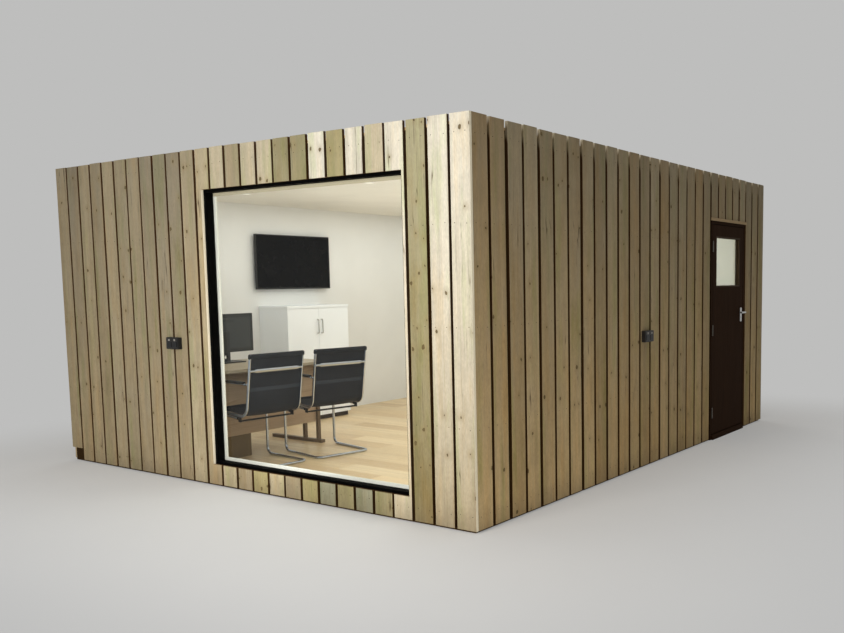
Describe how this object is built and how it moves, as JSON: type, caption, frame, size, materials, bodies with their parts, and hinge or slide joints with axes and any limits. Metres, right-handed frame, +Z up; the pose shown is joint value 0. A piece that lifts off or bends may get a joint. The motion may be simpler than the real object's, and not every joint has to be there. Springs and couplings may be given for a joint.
{
  "type": "office pod",
  "caption": "Timber-clad office pod with a large fixed window, a hinged door with a vision panel, a flat boarded roof and a furnished white room.",
  "frame": {"origin": "middle of the footprint over the side and end boards, at ground level", "axes": "+X along the front wall to the right, +Y from the window wall to the back wall, +Z up"},
  "size_m": [4.399, 4.889, 2.44],
  "materials": {
    "white_panel": "matt painted board",
    "softwood_board": "sawn treated softwood",
    "floor_timber": "sheet deck on insulation",
    "floor_plank": "satin laminate planks",
    "white_board": "matt painted board",
    "joist_timber": "planed softwood",
    "roof_board": "strand board",
    "black_frame": "satin black",
    "clear_glass": "clear polished",
    "white_trim": "satin white",
    "dark_door": "dark brown stain",
    "steel": "brushed",
    "satin_metal": "satin",
    "socket_metal": "grey metal",
    "light_white": "white",
    "black_plastic": "gloss black",
    "cupboard_white": "white melamine",
    "desk_wood": "wood-effect board",
    "leg_steel": "painted steel",
    "chair_chrome": "polished",
    "chair_mesh": "dark woven mesh"
  },
  "bodies": {
    "pod": {"front_cladding_beside_window": "softwood_board", "front_cladding_above_and_below": "softwood_board", "right_cladding_beside_door": "softwood_board", "right_cladding_over_door": "softwood_board", "left_cladding": "softwood_board", "back_cladding": "softwood_board", "door_head_trim": "softwood_board", "floor_base": "floor_timber", "floor_boards": "floor_plank", "ceiling": "white_board", "roof_joists": "joist_timber", "roof_deck": "roof_board", "window_frame": "black_frame", "window_glass": "clear_glass", "window_beads": "white_trim", "door_lining": "white_trim", "door_jambs": "dark_door", "door_frame_head": "dark_door", "door_threshold": "dark_door", "hinges_on_frame": "steel", "front_socket": "socket_metal", "right_socket": "socket_metal", "downlights": "light_white", "television": "black_plastic", "monitor": "black_plastic", "cupboard": "cupboard_white", "desk_top": "desk_wood", "desk_pedestal": "desk_wood", "desk_panel": "desk_wood", "desk_leg": "leg_steel", "chair_frames": "chair_chrome", "chair_slings": "chair_mesh", "front_wall_left": "white_panel", "front_wall_right": "white_panel", "front_wall_over_window": "white_panel", "front_wall_under_window": "white_panel", "right_wall_front": "white_panel", "right_wall_back": "white_panel", "right_wall_over_door": "white_panel", "left_wall": "white_panel", "back_wall": "white_panel"},
    "door": {"door_leaf": "dark_door", "door_glass": "clear_glass", "door_glass_beads": "dark_door", "hinges_on_door": "steel", "lever_plates": "satin_metal"},
    "levers": {"door_levers": "satin_metal"}
  },
  "joints": [
    {"name": "door_hinge", "type": "hinge", "parent": "pod", "child": "door", "pos_m": [2.174, 1.102, 1], "axis": [0, 0, -1], "range_deg": [0, 165]},
    {"name": "lever_turn", "type": "hinge", "parent": "door", "child": "levers", "pos_m": [2.1675, 1.8115, 1.16], "axis": [1, 0, 0], "range_deg": [0, 40], "stiffness_Nm_per_rad": 0.8, "springref_deg": -22.92}
  ]
}
